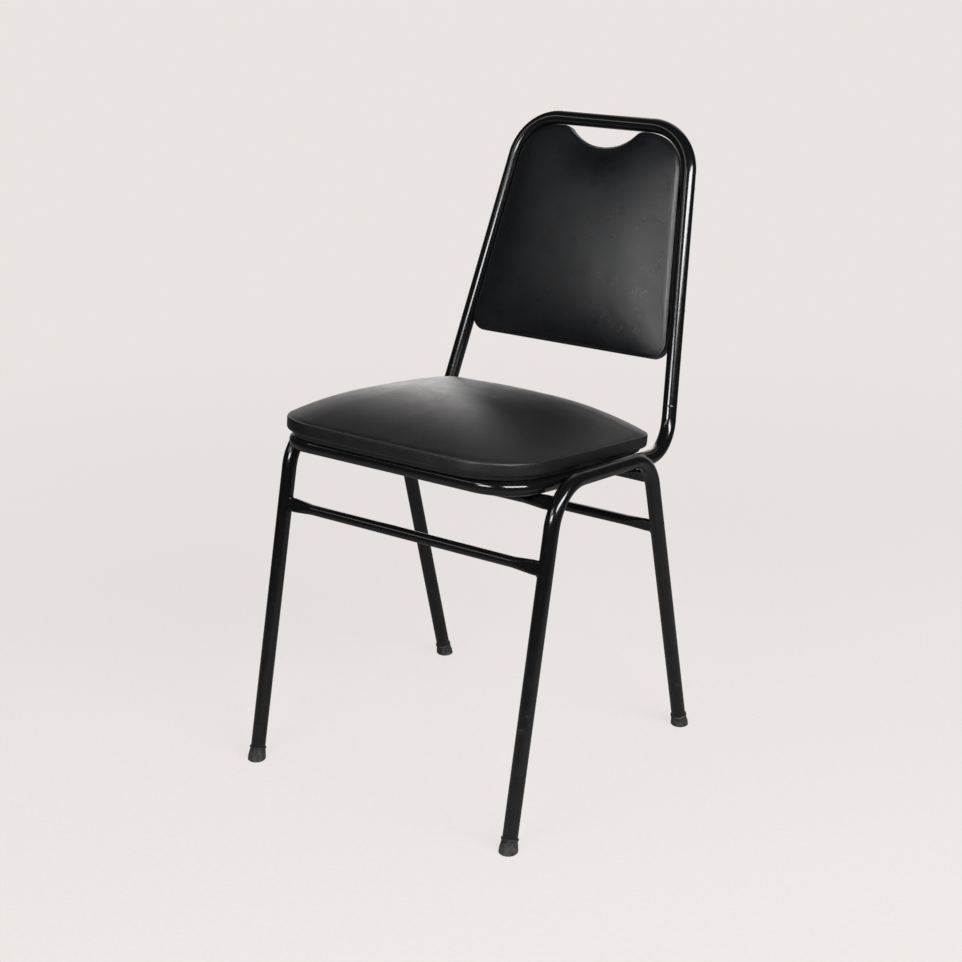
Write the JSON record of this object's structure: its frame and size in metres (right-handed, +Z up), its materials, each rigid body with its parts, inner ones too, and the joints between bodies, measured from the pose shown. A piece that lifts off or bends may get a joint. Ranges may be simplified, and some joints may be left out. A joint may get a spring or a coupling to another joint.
{
  "type": "stacking chair",
  "caption": "Stacking chair with a bent steel tube frame, black padded vinyl seat and back, and a hand hold in the back.",
  "frame": {"origin": "on the floor, at the middle of the chair's plan box", "axes": "+Z up, +X to the sitter's left, +Y from the front of the seat towards the back"},
  "size_m": [0.4284, 0.5379, 0.8117],
  "materials": {
    "frame_paint": "gloss black powder coat",
    "bare_steel": "plain drawn tube",
    "zinc_steel": "zinc plated",
    "foot_rubber": "matte, dusty",
    "plywood": "raw plywood",
    "seat_vinyl": "grained black vinyl",
    "back_vinyl": "grained black vinyl",
    "panel_vinyl": "grained black vinyl, stretched flat"
  },
  "bodies": {
    "root": {"seat_hoop": "frame_paint", "back_hoop": "frame_paint", "left_spigot": "bare_steel", "right_spigot": "bare_steel", "left_leg_frame": "frame_paint", "right_leg_frame": "frame_paint", "front_stretcher": "frame_paint", "rear_stretcher": "frame_paint", "front_seat_bar": "frame_paint", "rear_seat_bar": "frame_paint", "rail_packers": "frame_paint", "foot_front_left": "foot_rubber", "foot_front_right": "foot_rubber", "foot_rear_left": "foot_rubber", "foot_rear_right": "foot_rubber", "seat_tabs": "frame_paint", "seat_board": "plywood", "seat_cushion": "seat_vinyl", "seat_screws": "zinc_steel", "seat_washers": "zinc_steel", "seat_tee_nuts": "zinc_steel", "back_tabs": "frame_paint", "back_board": "plywood", "back_cushion": "back_vinyl", "back_panel": "panel_vinyl", "back_screws": "zinc_steel", "back_washers": "zinc_steel", "back_tee_nuts": "zinc_steel"}
  },
  "joints": []
}
